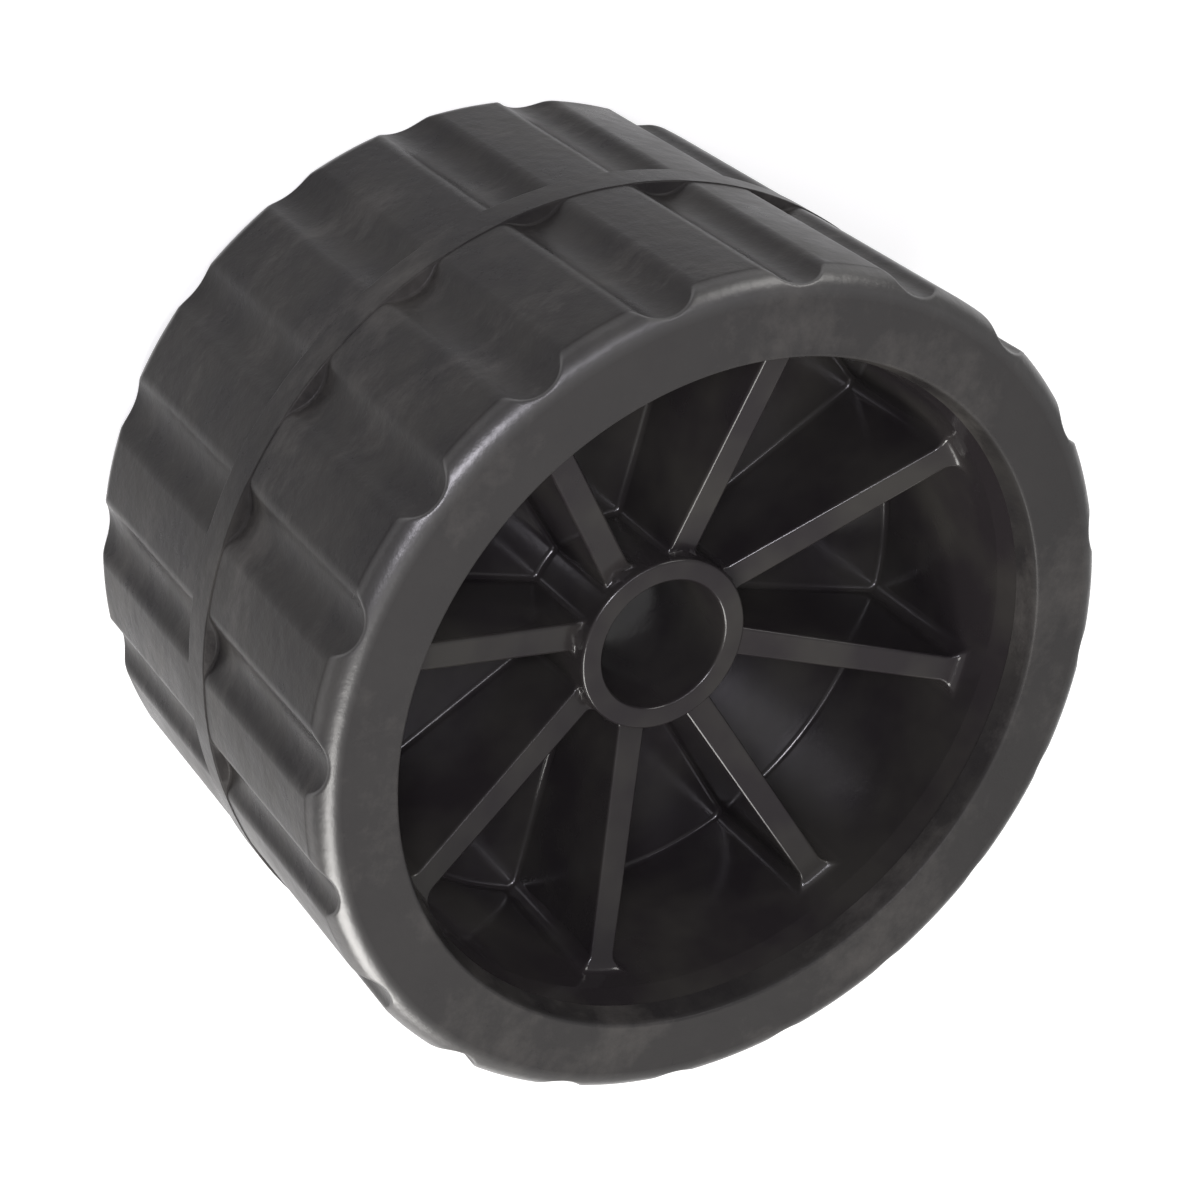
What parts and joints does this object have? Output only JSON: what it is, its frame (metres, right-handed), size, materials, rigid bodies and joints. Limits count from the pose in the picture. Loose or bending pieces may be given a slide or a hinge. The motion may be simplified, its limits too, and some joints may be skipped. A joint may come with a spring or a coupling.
{
  "type": "boat trailer side roller",
  "caption": "Round roller for the side of a boat trailer: a grooved rubber tread moulded round a ribbed black plastic hub, with a plain through bore for its axle.",
  "frame": {"origin": "centre of the lower end face of the tread, on the bore's axis", "axes": "+Z along the bore, from the lower end face to the upper one; one rib at each end points along +X"},
  "size_m": [0.12, 0.12, 0.075],
  "materials": {
    "hub_plastic": "gloss",
    "tread_rubber": "matt, lightly scuffed"
  },
  "bodies": {
    "root": {"hub": "hub_plastic", "tread": "tread_rubber"}
  },
  "joints": []
}
